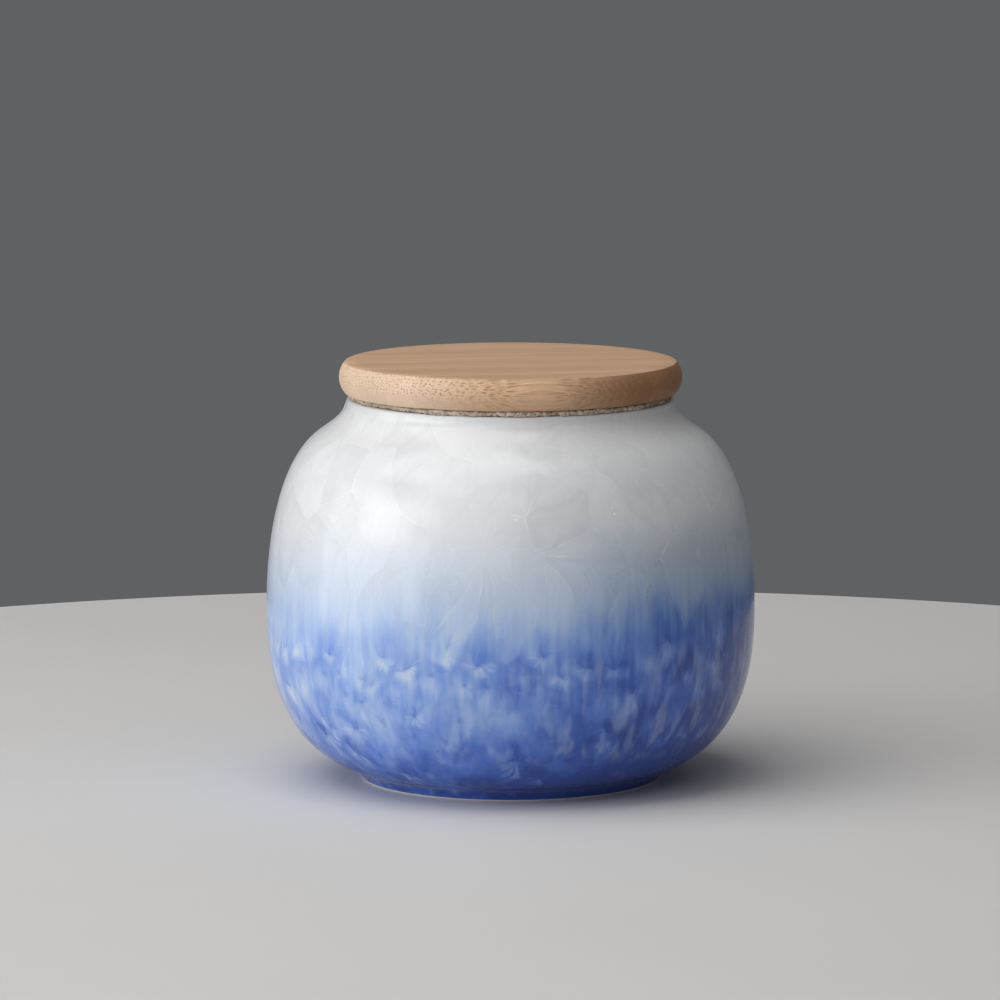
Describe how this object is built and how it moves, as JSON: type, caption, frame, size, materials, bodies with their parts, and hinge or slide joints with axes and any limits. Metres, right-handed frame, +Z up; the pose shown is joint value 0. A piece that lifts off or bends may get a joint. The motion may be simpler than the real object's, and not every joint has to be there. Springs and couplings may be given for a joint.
{
  "type": "funeral urn",
  "caption": "Small round-bellied keepsake urn of crystal-glazed porcelain, white over blue, on a low foot ring, with a flat bamboo lid that lifts off and a fibre ring under it.",
  "frame": {"origin": "centre of the foot ring, on the surface that the urn stands on", "axes": "+Z up along the axis of the turned jar and lid, -Y towards the viewer of the picture, +X to the right"},
  "size_m": [0.125, 0.125, 0.1075],
  "materials": {
    "porcelain": "glossy crystalline glaze, white above fading to cobalt blue below, bare foot edge",
    "bamboo": "sanded laminated bamboo, satin",
    "fibre": "crumpled grey-beige fibre"
  },
  "bodies": {
    "root": {"jar": "porcelain", "lid": "bamboo", "lid_liner": "fibre"}
  },
  "joints": []
}
